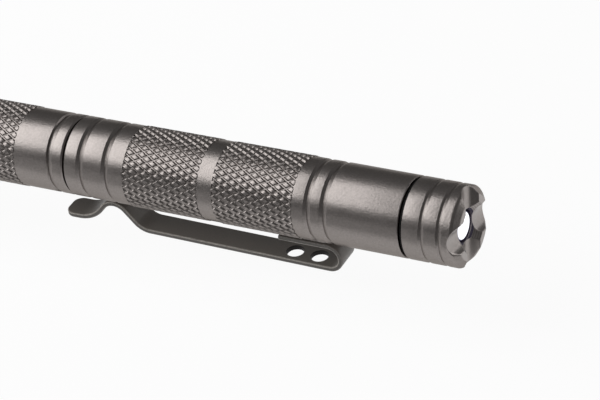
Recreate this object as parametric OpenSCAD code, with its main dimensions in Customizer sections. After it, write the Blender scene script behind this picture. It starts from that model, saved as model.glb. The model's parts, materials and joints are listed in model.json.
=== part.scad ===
// Tactical pen with a flashlight in its cap.
// The cap carries the pocket clip and the lamp head, and screws over the writing end of the pen.
// Lengths run along X from the seam between cap and pen: the lamp is at +X and the tail at -X.

/* [Barrel] */
// Outside diameter of the plain barrel, the lamp head and the tail
barrel_d = 12.8; // [12.4:0.1:14.4]
// Gap that shows as the seam between the cap and the pen
seam_gap = 0.25; // [0.2:0.05:0.6]
// Chamfer that breaks each turned edge
edge_break = 0.25; // [0.1:0.05:0.5]
// Width of a turned ring groove
groove_w = 1.25; // [0.5:0.05:1.4]
// Depth of a turned ring groove
groove_d = 0.35; // [0.15:0.05:0.5]
// Rise of the knurl bands above the plain barrel
knurl_rise = 0.1; // [0.05:0.05:0.3]

/* [Cap outside] */
// Seam to the first ring groove
cap_lip = 2.9; // [2:0.1:4]
// First to second ring groove
cap_ring_step = 4.6; // [3:0.1:6]
// Second ring groove to the first knurl band
cap_knurl_lead = 3.6; // [2:0.1:5]
// Length of a long knurl band
knurl_long = 13.9; // [10:0.1:16]
// Length of a short knurl band
knurl_short = 13.3; // [10:0.1:16]
// Plain ring between two knurl bands
knurl_break = 2.6; // [1.5:0.1:4]
// Knurl band to the ring groove next to it
ring_lead = 2.3; // [1.5:0.1:4]
// Spacing of the paired ring grooves
ring_pitch = 2.75; // [2:0.05:4]
// Plain seat between the last ring groove and the lamp head
seat_len = 12.9; // [11:0.1:16]

/* [Lamp head] */
// Black seam behind the lamp head
head_gap = 0.55; // [0.4:0.05:1.2]
// Thickness of the rubber ring in that seam
head_seal_t = 0.6; // [0.5:0.05:0.8]
// Length of the lamp head, back face to crown
head_len = 9; // [8.6:0.05:12]
// Lead of the lamp head's screw thread
head_pitch = 0.75; // [0.5:0.05:1]
// Length of the threaded shank behind the lamp head
shank_len = 6; // [5:0.1:7]
// Wall of the threaded shank
shank_wall = 0.8; // [0.6:0.05:1]
// Back face to the first head groove
head_ring_x = 3; // [2:0.05:3.4]
// Spacing of the two head grooves
head_ring_step = 2.9; // [2:0.05:3.4]
// Width of a head groove
head_groove_w = 0.9; // [0.3:0.05:1]
// Depth of a head groove
head_groove_d = 0.25; // [0.15:0.05:0.4]
// Width of the bevel round the crown
crown_bevel_w = 1.3; // [0.4:0.05:1.5]
// Height of the bevel round the crown
crown_bevel_h = 0.9; // [0.3:0.05:1.2]
// Width of the crown's flat rim
crown_rim = 1.1; // [0.3:0.05:1.3]
// Depth of the dish from the rim to the lamp hole
dish_depth = 1.4; // [1:0.05:2]
// Number of notches in the crown
notch_count = 4; // [3:1:6]
// Radius of a crown notch
notch_r = 2.6; // [1.2:0.05:2.8]
// Depth of a crown notch below the rim
notch_depth = 1.45; // [0.5:0.05:1.8]
// Turn of the crown against the clip, in degrees
crown_turn = -9; // [-45:1:45]

/* [Lamp and cells] */
// Diameter of the LED
led_d = 5; // [4.6:0.1:5.4]
// Length of the LED, base to dome
led_len = 8.6; // [8:0.05:8.9]
// Thickness of the LED's flange
led_flange_t = 1; // [0.6:0.05:1.4]
// Overhang of the LED's flange
led_flange_w = 0.4; // [0.2:0.05:0.6]
// Spacing of the LED's two leads
lead_pitch = 2.54; // [2:0.02:3]
// Diameter of an LED lead
lead_d = 0.5; // [0.4:0.05:0.6]
// Free length of the leads between the LED and the board
lead_free = 1.3; // [0.8:0.1:1.6]
// Thickness of the lamp board
board_t = 0.8; // [0.6:0.1:1.2]
// Diameter of the contact stud
stud_d = 2.4; // [1.6:0.1:3]
// Height of the contact stud
stud_h = 0.6; // [0.4:0.05:0.8]
// Diameter of a button cell
cell_d = 7.9; // [7:0.1:8.2]
// Height of a button cell
cell_h = 3.6; // [3:0.1:3.8]
// Number of button cells
cell_count = 3; // [2:1:3]
// Wall of the insulating sleeve round the cells
sleeve_wall = 0.43; // [0.3:0.01:0.6]
// Depth of the cell bay from the cap's lamp end
bay_depth = 16.85; // [16.4:0.05:17.8]

/* [Clip] */
// Width of the clip strip
clip_w = 4.5; // [3.8:0.1:6]
// Thickness of the clip strip
clip_t = 0.8; // [0.6:0.05:1]
// Inside radius of the clip's return bend
bend_r = 1.75; // [1.5:0.05:2.4]
// Seam to the centre of the return bend
bend_x = 43.7; // [40:0.1:46]
// Length of the foot that is screwed to the barrel
foot_len = 8.3; // [7:0.1:9]
// Height of the pad under the foot, above the barrel
pad_h = 0.5; // [0.2:0.05:0.6]
// Inset of that pad from the foot's edges
pad_inset = 0.3; // [0.1:0.05:0.5]
// Lean of the arm towards the barrel, in degrees
arm_lean = 0.8; // [0:0.1:1.2]
// Seam to the top of the clip's hump
hump_x = 5.5; // [4:0.1:8]
// Inside radius of the hump
hump_r = 2.2; // [1.6:0.1:2.6]
// Slope of the hump's two legs, in degrees
leg_slope = 50; // [44:1:54]
// Gap between the hump and the barrel
hump_gap = 0.25; // [0.2:0.05:0.5]
// Inside radius where the arm turns up to the hump
arm_turn_r = 3; // [1.5:0.1:3.6]
// Inside radius of the spoon that follows the hump
spoon_r = 5.4; // [3:0.1:5.6]
// Drop of the spoon below the barrel
spoon_drop = 4.4; // [3.9:0.1:4.5]
// Reach of the clip's tip past the seam
tip_reach = 4.2; // [3:0.1:6]
// Corner radius of the clip's tip
tip_corner_r = 1.6; // [0.5:0.1:1.8]
// Slit, in degrees of the bend, where the arm flexes
flex_slit = 9; // [7:0.5:12]
// Foot's end to its first screw
screw_inset = 1.35; // [1.3:0.05:1.6]
// Spacing of the two foot screws
screw_pitch = 4.25; // [3.6:0.05:4.6]
// Diameter of a foot screw
screw_d = 1.4; // [1:0.1:1.6]
// Diameter of a foot screw's head
screw_head_d = 2.4; // [2:0.1:2.6]
// Height of a foot screw's head
screw_head_h = 0.8; // [0.5:0.05:1]
// Depth of a foot screw in the barrel
screw_bite = 1.4; // [1:0.1:1.5]
// Diameter of the driver holes in the arm
driver_hole_d = 2.8; // [2.6:0.1:3.2]

/* [Pen half] */
// Wall of the cap round the pen's thread
thread_wall = 1.5; // [1.2:0.1:1.7]
// Length of the pen's threaded spigot
spigot_len = 7; // [6:0.1:8]
// Lead of the pen's screw thread
spigot_pitch = 1; // [0.75:0.05:1.25]
// Wall between the pen's spigot seal and the socket of the writing nose
spigot_web = 0.6; // [0.4:0.1:1]
// Wall of the cap round the writing nose
cavity_wall = 1.6; // [1.5:0.1:2]
// Air between the writing nose and the cap
nose_air = 0.3; // [0.2:0.05:0.5]
// Seam to the pen's collar groove
collar_len = 2.75; // [2:0.05:3.5]
// Width of the collar groove's long flank
collar_flank = 0.95; // [0.5:0.05:1.2]
// Collar groove to the pen's first knurl band
pen_knurl_lead = 6.2; // [4:0.1:8]
// Ring grooves to the pen's third knurl band
pen_band_lead = 3.6; // [2:0.1:5]
// Last ring groove to the tail seam
tail_seat = 4.8; // [3:0.1:8]
// Length of the tail's shank inside the barrel
tail_shank_len = 6.7; // [5:0.1:8]
// Wall of the barrel round the tail's shank
tail_wall = 2.05; // [1.4:0.05:2.2]
// Straight part of the tail
tail_straight = 3.5; // [3:0.1:6]
// Tapered part of the tail
tail_taper = 8; // [5:0.1:12]
// Diameter of the tail's end
tail_end_d = 6.4; // [5:0.1:8]
// Diameter of the glass breaker
breaker_d = 3.16; // [2:0.02:3.6]
// Depth of the glass breaker in the tail
breaker_set = 5.4; // [3:0.1:6]
// Length of the glass breaker outside the tail
breaker_out = 3.5; // [2:0.1:5]
// Length of the glass breaker's point
breaker_point = 2.5; // [1:0.1:3]

/* [Refill] */
// Diameter of the ink refill
refill_d = 5.84; // [5.4:0.02:6]
// Diameter of the refill's neck
neck_d = 3.2; // [2.8:0.1:3.4]
// Length of the refill's neck
neck_len = 6; // [5:0.1:7]
// Diameter of the refill's tip
nib_d = 2.3; // [1.6:0.1:2.5]
// Length of the tip that shows
nib_out = 2.9; // [2:0.1:4]
// Length of the writing nose
nose_len = 24.5; // [23:0.1:28]
// Straight part of the writing nose
nose_straight = 11; // [8:0.1:12]
// Diameter of the writing nose's end
nose_end_d = 3.2; // [3:0.1:4]
// Wire diameter of the refill spring
refill_wire = 0.4; // [0.3:0.05:0.5]
// Curls of the refill spring
refill_curls = 6; // [3:0.5:6]

/* [Springs and seals] */
// Wire diameter of the cell spring
cell_wire = 0.5; // [0.3:0.05:0.6]
// Mean diameter of the cell spring
cell_spring_d = 5.2; // [3:0.1:6.4]
// Curls of the cell spring
cell_curls = 2.25; // [1.25:0.25:2.25]
// Depth of an O-ring groove
seal_depth = 0.7; // [0.5:0.05:0.8]
// Width of an O-ring
seal_w = 1.1; // [0.8:0.05:1.3]

/* [Fits] */
// Radial clearance of a turning or sliding fit
run_fit = 0.05; // [0.02:0.01:0.08]
// Clearance between pieces fixed to each other
seat_fit = 0.02; // [0.01:0.01:0.05]

/* [Hidden] */
$fn = 96;
eps = 0.01;
cut_over = 1;
barrel_r = barrel_d / 2;
knurl_r = barrel_r + knurl_rise;

// Stations along the cap, from the seam
cap_ring_1 = cap_lip;
cap_ring_2 = cap_ring_1 + cap_ring_step;
band_a = cap_ring_2 + cap_knurl_lead;
band_b = band_a + knurl_short + knurl_break;
cap_ring_3 = band_b + knurl_long + ring_lead;
cap_ring_4 = cap_ring_3 + ring_pitch;
cap_end = cap_ring_4 + seat_len;

// Stations and radii of the lamp head
head_back = cap_end + head_gap;
crown_x = head_back + head_len;
rim_r = barrel_r - crown_bevel_w;
dish_r = rim_r - crown_rim;
led_r = led_d / 2;
lamp_hole_r = led_r + run_fit;
led_shoulder = crown_x - dish_depth - led_len + led_flange_t - run_fit;
led_base = led_shoulder - led_flange_t;
board_x = led_base - lead_free - board_t;
stud_x = board_x - stud_h;

// Cells, from the contact stud back to the spring
cell_r = cell_d / 2;
sleeve_r = cell_r + run_fit + sleeve_wall;
bay_r = sleeve_r + run_fit;
shank_r = bay_r + shank_wall;
socket_r = shank_r + run_fit;
head_seal_r = barrel_r - groove_d;
head_seal_in_r = head_seal_r - head_seal_t;
head_neck_r = head_seal_in_r - run_fit;
head_side_air = head_gap / 10;
head_neck_x = cap_end + head_side_air / 2;
cells_end = stud_x - run_fit;
cells_x = cells_end - cell_count * cell_h;
bay_x = cap_end - bay_depth;
flange_r = led_r + led_flange_w;

// Clip, as distances from the axis and stations along it
seat_z = barrel_r + pad_h;
bend_out_r = bend_r + clip_t;
bend_mid_r = bend_r + clip_t / 2;
bend_z = seat_z + bend_out_r;
axis_z = seat_z + 2 * bend_out_r;
foot_x = bend_x - foot_len;
screw_x = [foot_x + screw_inset, foot_x + screw_inset + screw_pitch];
hump_mid_r = hump_r + clip_t / 2;
hump_mid_z = barrel_r + hump_gap + clip_t / 2;
hump_apex_z = hump_mid_z - hump_mid_r * (1 / cos(leg_slope) - 1);
spoon_z = barrel_r + spoon_drop;
arm_z = bend_z + bend_mid_r;
knee_x = bend_x - clip_t;
arm_turn_x = (arm_z - hump_apex_z - tan(arm_lean) * knee_x + tan(leg_slope) * hump_x)
    / (tan(leg_slope) - tan(arm_lean));
arm_turn_z = hump_apex_z + tan(leg_slope) * (arm_turn_x - hump_x);
spoon_x = hump_x - (spoon_z - hump_apex_z) / tan(leg_slope);

// Pen half, from the seam to the tail
thread_r = barrel_r - thread_wall;
spigot_r = thread_r - run_fit;
cavity_r = barrel_r - cavity_wall;
nose_r = cavity_r - nose_air;
refill_r = refill_d / 2;
refill_bore_r = refill_r + 2 * run_fit;
spigot_seal_r = spigot_r - seal_depth;
nose_shank_r = (spigot_r + refill_bore_r) / 2;
nose_x = spigot_len + seat_fit;
nose_end = nose_x + nose_len;
nib_end = nose_end + nib_out;
tip_air = 1.1;
cavity_end = nib_end + tip_air;
neck_end = nose_x + nose_straight + neck_len;
neck_x = neck_end - neck_len;
spring_air = 0.1;
nib_bore_r = nib_d / 2 + run_fit;
coil_steps = 8;
coil_sides = 6;
refill_spring_r = (neck_d / 2 + spring_air + refill_wire / 2) / cos(180 / coil_steps);
spring_bore_r = refill_spring_r + refill_wire / 2 + spring_air;
pen_band_c = -collar_len - pen_knurl_lead - knurl_short;
pen_band_d = pen_band_c - knurl_break - knurl_long;
pen_ring_1 = pen_band_d - ring_lead;
pen_ring_2 = pen_ring_1 - ring_pitch;
pen_band_e = pen_ring_2 - pen_band_lead - knurl_short;
pen_ring_3 = pen_band_e - pen_band_lead;
pen_ring_4 = pen_ring_3 - ring_pitch;
tail_x = pen_ring_4 - tail_seat;
tail_bore_r = barrel_r - tail_wall;
tail_shank_r = tail_bore_r - seat_fit;
tail_shank_x = tail_x + tail_shank_len;
refill_stop = 2;
refill_x = tail_shank_x + refill_stop;
tail_end = tail_x - seat_fit - tail_straight - tail_taper;
tail_end_r = tail_end_d / 2;
breaker_r = breaker_d / 2;
breaker_x = tail_end - breaker_out;
seal_room = 0.05;
spigot_seal_x = 0.5;
spigot_seal_end = spigot_seal_x + seal_w + 2 * seal_room;
nose_socket_x = spigot_seal_end + spigot_web;
tail_seal_inset = 1.5;
tail_seal_x = tail_x + tail_seal_inset;

// Puts the middle of the whole length at the origin, with the clip's back at the bottom
module in_frame() {
    translate([-(crown_x + breaker_x) / 2, 0, axis_z]) children();
}

// Solid of revolution about the X axis from [station, radius] points
module turned(points) {
    rotate([0, 90, 0]) rotate_extrude() polygon([for (p = points) [p[1], p[0]]]);
}

// Round bar or drilled hole along the X axis
module bar(x0, x1, r) {
    translate([x0, 0, 0]) rotate([0, 90, 0]) cylinder(r = r, h = x1 - x0);
}

// Plain ring round the X axis
module ring(x0, x1, r_in, r_out) {
    difference() {
        bar(x0, x1, r_out);
        bar(x0 - eps, x1 + eps, r_in);
    }
}

// Ring with rounded flanks, as a rubber seal
module seal(x0, w, r_in, r_out) {
    soft = min(w, r_out - r_in) / 4;
    turned([
        [x0 + soft, r_in], [x0 + w - soft, r_in], [x0 + w, r_in + soft], [x0 + w, r_out - soft],
        [x0 + w - soft, r_out], [x0 + soft, r_out], [x0, r_out - soft], [x0, r_in + soft]
    ]);
}

// Width and depth of a thread groove, as shares of the pitch
thread_open = 0.8;
thread_deep = 0.35;
// Part of a ring groove ahead of its station, and its steep flank, as shares of its width
ring_ahead = 0.25;
ring_steep = 0.375;
// Outline points of a V groove, a ring groove, a knurl band and a stack of thread grooves, in rising X
function groove(x, r, w, d) = [[x - w / 2, r], [x, r - d], [x + w / 2, r]];
function ring(x, r, w, d) = [
    [x - ring_ahead * w, r],
    [x + (ring_steep - ring_ahead) * w, r - d],
    [x + (1 - ring_ahead) * w, r]
];
function band(x, len) = [[x, barrel_r], [x, knurl_r], [x + len, knurl_r], [x + len, barrel_r]];
function thread(x0, x1, r, pitch) = [
    for (x = [x0 + pitch / 2 : pitch : x1 - pitch / 2])
        each groove(x, r, thread_open * pitch, thread_deep * pitch)
];

// Helix of a spring along X: ring centres, their skin and the least gap between curls
function coil_point(x0, x1, r, curls, i) =
    let (n = curls * coil_steps, a = 360 * i / coil_steps)
    [x0 + (x1 - x0) * i / n, r * cos(a), r * sin(a)];
function coil_skin(x0, x1, r, curls, wire) = [
    for (i = [0 : curls * coil_steps], k = [0 : coil_sides - 1])
        let (a = 360 * i / coil_steps, b = 360 * k / coil_sides, p = coil_point(x0, x1, r, curls, i))
        p + wire / 2 * [sin(b), cos(b) * cos(a), cos(b) * sin(a)]
];
function coil_faces(rings) = concat(
    [for (k = [1 : coil_sides - 2]) [0, k, k + 1]],
    [for (k = [1 : coil_sides - 2]) let (e = rings * coil_sides) [e, e + k + 1, e + k]],
    [for (i = [0 : rings - 1], k = [0 : coil_sides - 1], half = [0, 1])
        let (a = i * coil_sides + k, b = i * coil_sides + (k + 1) % coil_sides)
        half == 0 ? [a, a + coil_sides, b] : [b, a + coil_sides, b + coil_sides]]
);
function coil_gap(x0, x1, r, curls, wire) = min([
    for (i = [0 : curls * coil_steps], j = [i + coil_steps / 2 : curls * coil_steps])
        norm(coil_point(x0, x1, r, curls, i) - coil_point(x0, x1, r, curls, j))
]) - wire;

module coil(x0, x1, r, curls, wire) {
    low = x0 + wire / 2;
    high = x1 - wire / 2;
    echo(least_gap_between_curls = coil_gap(low, high, r, curls, wire));
    polyhedron(coil_skin(low, high, r, curls, wire), coil_faces(curls * coil_steps));
}

// Stations [point, heading] of the clip's centre line in its side view, and the strip round them
function side_of(heading) = [-sin(heading), cos(heading)];
function heading_of(a, b) = atan2(b[1] - a[1], b[0] - a[0]);
function half_turn(a) = a > 180 ? a - 360 : a < -180 ? a + 360 : a;
function corner(a, b, c, r, steps) =
    let (h0 = heading_of(a, b), swing = half_turn(heading_of(b, c) - h0), hand = sign(swing),
        entry = b - r * tan(abs(swing) / 2) * [cos(h0), sin(h0)],
        centre = entry + hand * r * side_of(h0))
    [for (k = [0 : steps]) let (h = h0 + swing * k / steps) [centre - hand * r * side_of(h), h]];

module strip(stations) {
    upper = [for (s = stations) s[0] + clip_t / 2 * side_of(s[1])];
    lower = [for (s = stations) s[0] - clip_t / 2 * side_of(s[1])];
    last = len(stations) - 1;
    rotate([90, 0, 0])
        linear_extrude(clip_w, center = true)
            polygon(concat(upper, [for (i = [last : -1 : 0]) lower[i]]));
}

// Stretch of the return bend between two angles, round about the axis on which the arm flexes
module return_bend(a0, a1) {
    translate([bend_x, 0, -bend_z])
        rotate([90, 0, 0])
            rotate([0, 0, a0])
                rotate_extrude(angle = a1 - a0)
                    translate([bend_r, -clip_w / 2]) square([clip_t, clip_w]);
}

// Plan outline of the clip, with round corners at the tip
module clip_plan() {
    straight = bend_x + bend_out_r + tip_reach;
    translate([-tip_reach + tip_corner_r, -clip_w / 2 - eps]) square([straight, clip_w + 2 * eps]);
    translate([-tip_reach, -clip_w / 2 + tip_corner_r]) square([straight, clip_w - 2 * tip_corner_r]);
    for (y = [-1, 1])
        translate([-tip_reach + tip_corner_r, y * (clip_w / 2 - tip_corner_r)]) circle(tip_corner_r);
}

// Cap tube with its grooves, bands, bores, clip pad and screw holes
module lamp_barrel() {
    pad_w = clip_w - 2 * pad_inset;
    color("dimgray") difference() {
        union() {
            turned(concat(
                [[seam_gap, 0], [seam_gap, barrel_r - edge_break], [seam_gap + edge_break, barrel_r]],
                ring(cap_ring_1, barrel_r, groove_w, groove_d),
                ring(cap_ring_2, barrel_r, groove_w, groove_d),
                band(band_a, knurl_short),
                band(band_b, knurl_long),
                ring(cap_ring_3, barrel_r, groove_w, groove_d),
                ring(cap_ring_4, barrel_r, groove_w, groove_d),
                [[cap_end - edge_break, barrel_r], [cap_end, barrel_r - edge_break], [cap_end, 0]]
            ));
            translate([foot_x + pad_inset, -pad_w / 2, -seat_z])
                cube([foot_len - 2 * pad_inset, pad_w, pad_h + cut_over]);
        }
        bar(-eps, spigot_len + 2 * nose_air, thread_r);
        bar(-eps, cavity_end, cavity_r);
        bar(bay_x, cap_end + eps, bay_r);
        bar(cap_end - shank_len - nose_air, cap_end + eps, socket_r);
        for (x = screw_x)
            translate([x, 0, -seat_z - cut_over])
                cylinder(d = screw_d + 2 * seat_fit, h = cut_over + screw_bite);
    }
}

// Fixed part of the clip: the foot under the barrel and the near half of the return bend
module clip_foot() {
    color("darkslategray") difference() {
        union() {
            translate([foot_x, -clip_w / 2, -seat_z - clip_t]) cube([foot_len, clip_w, clip_t]);
            return_bend(flex_slit / 2, 90);
        }
        for (x = screw_x)
            translate([x, 0, -bend_z]) cylinder(d = screw_d + 2 * run_fit, h = bend_out_r + cut_over);
    }
}

// Springy part of the clip: the rest of the bend, the arm, the hump and the spoon tip
module clip_arm() {
    tip = [-tip_reach, -spoon_z];
    spoon = [spoon_x, -spoon_z];
    hump = [hump_x, -hump_apex_z];
    turn = [arm_turn_x, -arm_turn_z];
    knee = [knee_x, -arm_z];
    root = [bend_x, -arm_z];
    stations = concat(
        [[root, 180], [knee, 180 - arm_lean / 2]],
        corner(knee, turn, hump, arm_turn_r + clip_t / 2, 10),
        corner(turn, hump, spoon, hump_mid_r, 16),
        corner(hump, spoon, tip, spoon_r + clip_t / 2, 10),
        [[tip, 180]]
    );
    color("darkslategray") difference() {
        union() {
            intersection() {
                strip(stations);
                translate([0, 0, -axis_z - cut_over]) linear_extrude(axis_z) clip_plan();
            }
            return_bend(-90, -flex_slit / 2);
        }
        for (x = screw_x)
            translate([x, 0, -axis_z - cut_over])
                cylinder(d = driver_hole_d, h = axis_z - bend_z + cut_over);
    }
}

// Two small button-head screws that hold the foot
module clip_screws() {
    socket_d = 1;
    socket_h = screw_head_h * 0.6;
    dome_d = screw_head_d * 1.05;
    color("gray") for (x = screw_x) translate([x, 0, -seat_z - clip_t - seat_fit]) difference() {
        union() {
            cylinder(d = screw_d, h = clip_t + screw_bite);
            intersection() {
                translate([0, 0, -screw_head_h]) cylinder(d = screw_head_d, h = screw_head_h);
                translate([0, 0, screw_head_h / 4]) sphere(d = dome_d);
            }
        }
        translate([0, 0, -screw_head_h - eps]) cylinder(d = socket_d, h = socket_h, $fn = 6);
    }
}

// Coil that presses the cells towards the lamp
module cell_spring() {
    color("silver") coil(bay_x + seat_fit, cells_x - seat_fit, cell_spring_d / 2, cell_curls, cell_wire);
}

// Button cells, each with its stepped negative cap
module button_cells() {
    cap_h = 0.3;
    rim = 0.2;
    color("lightgray") for (i = [0 : cell_count - 1]) translate([cells_x + i * cell_h, 0, 0]) turned([
        [seat_fit, 0], [seat_fit, cell_r - 4 * rim], [cap_h, cell_r - 4 * rim], [cap_h, cell_r - rim],
        [cap_h + rim, cell_r], [cell_h - rim, cell_r], [cell_h, cell_r - rim], [cell_h, 0]
    ]);
}

// Thin insulating tube round the cells
module cell_sleeve() {
    color("ivory") ring(cells_x, cells_end, cell_r + run_fit, sleeve_r);
}

// Black rubber ring in the seam behind the lamp head
module head_seal_ring() {
    color("black")
        seal(cap_end + head_side_air, head_gap - 2 * head_side_air, head_seal_in_r, head_seal_r);
}

// Lamp head: threaded shank, grooved bezel, dished crown with round notches
module lamp_head() {
    dish_x = crown_x - dish_depth;
    shank_x = cap_end - shank_len;
    color("dimgray") difference() {
        turned(concat(
            [[shank_x, 0], [shank_x, shank_r - edge_break], [shank_x + edge_break, shank_r]],
            thread(shank_x + 2 * edge_break, cap_end - 2 * edge_break, shank_r, head_pitch),
            [[head_neck_x, shank_r], [head_neck_x, head_neck_r], [head_back, head_neck_r]],
            [[head_back, barrel_r - edge_break], [head_back + edge_break, barrel_r]],
            ring(head_back + head_ring_x, barrel_r, head_groove_w, head_groove_d),
            ring(head_back + head_ring_x + head_ring_step, barrel_r, head_groove_w, head_groove_d),
            [[crown_x - crown_bevel_h, barrel_r], [crown_x, rim_r], [crown_x, dish_r]],
            [[dish_x, lamp_hole_r], [dish_x, 0]]
        ));
        bar(shank_x - eps, led_shoulder, bay_r);
        bar(shank_x - eps, crown_x, lamp_hole_r);
        for (i = [0 : notch_count - 1])
            rotate([crown_turn + 360 * i / notch_count, 0, 0])
                translate([crown_x - notch_depth + notch_r, 0, 0])
                    rotate([-90, 0, 0]) cylinder(r = notch_r, h = barrel_r + cut_over);
    }
}

// Clear domed LED with its flange
module led_lamp() {
    neck_len_led = led_len - led_r;
    color("white") {
        bar(led_base, led_base + neck_len_led, led_r);
        bar(led_base, led_shoulder - seat_fit, flange_r);
        translate([led_base + neck_len_led, 0, 0]) sphere(led_r);
    }
}

// Two wire leads from the LED to the board
module led_leads() {
    color("silver") for (y = [-1, 1]) translate([0, y * lead_pitch / 2, 0])
        bar(board_x + run_fit, led_base - seat_fit, lead_d / 2);
}

// Insulating bush that centres the LED in the head
module led_holder() {
    color("ivory")
        ring(led_base - lead_free / 2, led_shoulder - seat_fit, flange_r + seat_fit, bay_r - seat_fit);
}

// Round lamp board with holes for the leads
module led_board() {
    color("darkgreen") difference() {
        bar(board_x, board_x + board_t, bay_r - seat_fit);
        for (y = [-1, 1]) translate([0, y * lead_pitch / 2, 0])
            bar(board_x - eps, board_x + board_t + eps, lead_d / 2 + run_fit);
    }
}

// Brass stud on the board that meets the first cell
module contact_stud() {
    color("gold") turned([
        [stud_x, 0], [stud_x, stud_d / 2 - stud_h / 3], [stud_x + stud_h / 3, stud_d / 2],
        [board_x - seat_fit, stud_d / 2], [board_x - seat_fit, 0]
    ]);
}

// Rubber ring on the pen's spigot
module thread_seal_ring() {
    color("black") seal(spigot_seal_x + seal_room, seal_w, spigot_seal_r + run_fit, spigot_r);
}

// Pen tube with its spigot, grooves, bands and bores
module pen_barrel() {
    color("dimgray") difference() {
        turned(concat(
            [[tail_x, 0], [tail_x, barrel_r - edge_break], [tail_x + edge_break, barrel_r]],
            ring(pen_ring_4, barrel_r, groove_w, groove_d),
            ring(pen_ring_3, barrel_r, groove_w, groove_d),
            band(pen_band_e, knurl_short),
            ring(pen_ring_2, barrel_r, groove_w, groove_d),
            ring(pen_ring_1, barrel_r, groove_w, groove_d),
            band(pen_band_d, knurl_long),
            band(pen_band_c, knurl_short),
            [[-collar_len - groove_d / 2, barrel_r], [-collar_len, barrel_r - groove_d]],
            [[-collar_len + collar_flank, barrel_r], [-edge_break, barrel_r], [0, barrel_r - edge_break]],
            [[0, spigot_r], [spigot_seal_x, spigot_r], [spigot_seal_x, spigot_seal_r]],
            [[spigot_seal_end, spigot_seal_r], [spigot_seal_end, spigot_r]],
            thread(spigot_seal_end + edge_break, spigot_len - edge_break, spigot_r, spigot_pitch),
            [[spigot_len - edge_break, spigot_r], [spigot_len, spigot_r - edge_break], [spigot_len, 0]]
        ));
        bar(tail_x - eps, spigot_len + eps, refill_bore_r);
        bar(tail_x - eps, tail_shank_x + seat_fit, tail_bore_r);
        bar(nose_socket_x, spigot_len + eps, nose_shank_r + seat_fit);
    }
}

// Tapered writing nose with its grip rings, screwed into the spigot
module writing_nose() {
    shank_x = nose_socket_x + seat_fit;
    grip_step = 1.6;
    color("gray") difference() {
        turned(concat(
            [[shank_x, 0], [shank_x, nose_shank_r], [nose_x, nose_shank_r], [nose_x, nose_r - edge_break]],
            [[nose_x + edge_break, nose_r]],
            [for (i = [1 : 4]) each groove(nose_x + i * grip_step, nose_r, groove_w, groove_d)],
            [[nose_x + nose_straight, nose_r], [nose_end, nose_end_d / 2], [nose_end, 0]]
        ));
        bar(shank_x - eps, neck_x + spring_air, refill_bore_r);
        bar(shank_x - eps, neck_end + spring_air, spring_bore_r);
        bar(shank_x - eps, nose_end + eps, nib_bore_r);
    }
}

// Body of the ink refill
module refill_tube() {
    color("silver") turned([
        [refill_x, 0], [refill_x, refill_r - edge_break], [refill_x + edge_break, refill_r],
        [neck_x - edge_break, refill_r], [neck_x, refill_r - edge_break], [neck_x, 0]
    ]);
}

// Neck and point of the refill
module refill_tip() {
    ball_r = 0.35;
    cone = nib_d;
    color("goldenrod") turned([
        [neck_x + seat_fit, 0], [neck_x + seat_fit, neck_d / 2], [neck_end, neck_d / 2],
        [neck_end, nib_d / 2], [nib_end - cone, nib_d / 2], [nib_end - ball_r, ball_r],
        [nib_end, ball_r / 2], [nib_end, 0]
    ]);
}

// Coil between the refill's shoulder and the nose
module refill_spring() {
    far_end = neck_end + spring_air - seat_fit;
    color("silver") coil(neck_x + seat_fit, far_end, refill_spring_r, refill_curls, refill_wire);
}

// Tail with its shank, ring groove, taper and socket for the breaker
module tail_cap() {
    face = tail_x - seat_fit;
    taper_x = face - tail_straight;
    seal_end = tail_seal_x + seal_w + 2 * seal_room;
    seal_r = tail_shank_r - seal_depth;
    stop_r = refill_r - edge_break;
    color("dimgray") difference() {
        turned(concat(
            [[tail_end, 0], [tail_end, tail_end_r - edge_break], [tail_end + edge_break, tail_end_r]],
            [[taper_x, barrel_r]],
            groove(face - tail_straight / 2, barrel_r, groove_w, groove_d),
            [[face - edge_break, barrel_r], [face, barrel_r - edge_break], [face, tail_shank_r]],
            [[tail_seal_x, tail_shank_r], [tail_seal_x, seal_r], [seal_end, seal_r]],
            [[seal_end, tail_shank_r], [tail_shank_x, tail_shank_r], [tail_shank_x, stop_r]],
            [[refill_x - seat_fit, stop_r], [refill_x - seat_fit, 0]]
        ));
        bar(tail_end - eps, tail_end + breaker_set, breaker_r + seat_fit);
    }
}

// Rubber ring on the tail's shank
module tail_seal_ring() {
    color("black") seal(tail_seal_x + seal_room, seal_w, tail_shank_r - seal_depth + seat_fit, tail_shank_r);
}

// Carbide glass breaker set in the tail
module breaker_tip() {
    flat_r = 0.3;
    color("slategray") turned([
        [breaker_x, 0], [breaker_x, flat_r], [breaker_x + breaker_point, breaker_r],
        [tail_end + breaker_set - seat_fit, breaker_r], [tail_end + breaker_set - seat_fit, 0]
    ]);
}

in_frame() lamp_barrel();
in_frame() clip_foot();
in_frame() clip_arm();
in_frame() clip_screws();
in_frame() cell_spring();
in_frame() button_cells();
in_frame() cell_sleeve();
in_frame() head_seal_ring();
in_frame() lamp_head();
in_frame() led_lamp();
in_frame() led_leads();
in_frame() led_holder();
in_frame() led_board();
in_frame() contact_stud();
in_frame() thread_seal_ring();
in_frame() pen_barrel();
in_frame() writing_nose();
in_frame() refill_tube();
in_frame() refill_tip();
in_frame() refill_spring();
in_frame() tail_cap();
in_frame() tail_seal_ring();
in_frame() breaker_tip();
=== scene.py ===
import json
import math

import bmesh
import bpy
from mathutils import Matrix, Vector


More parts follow.
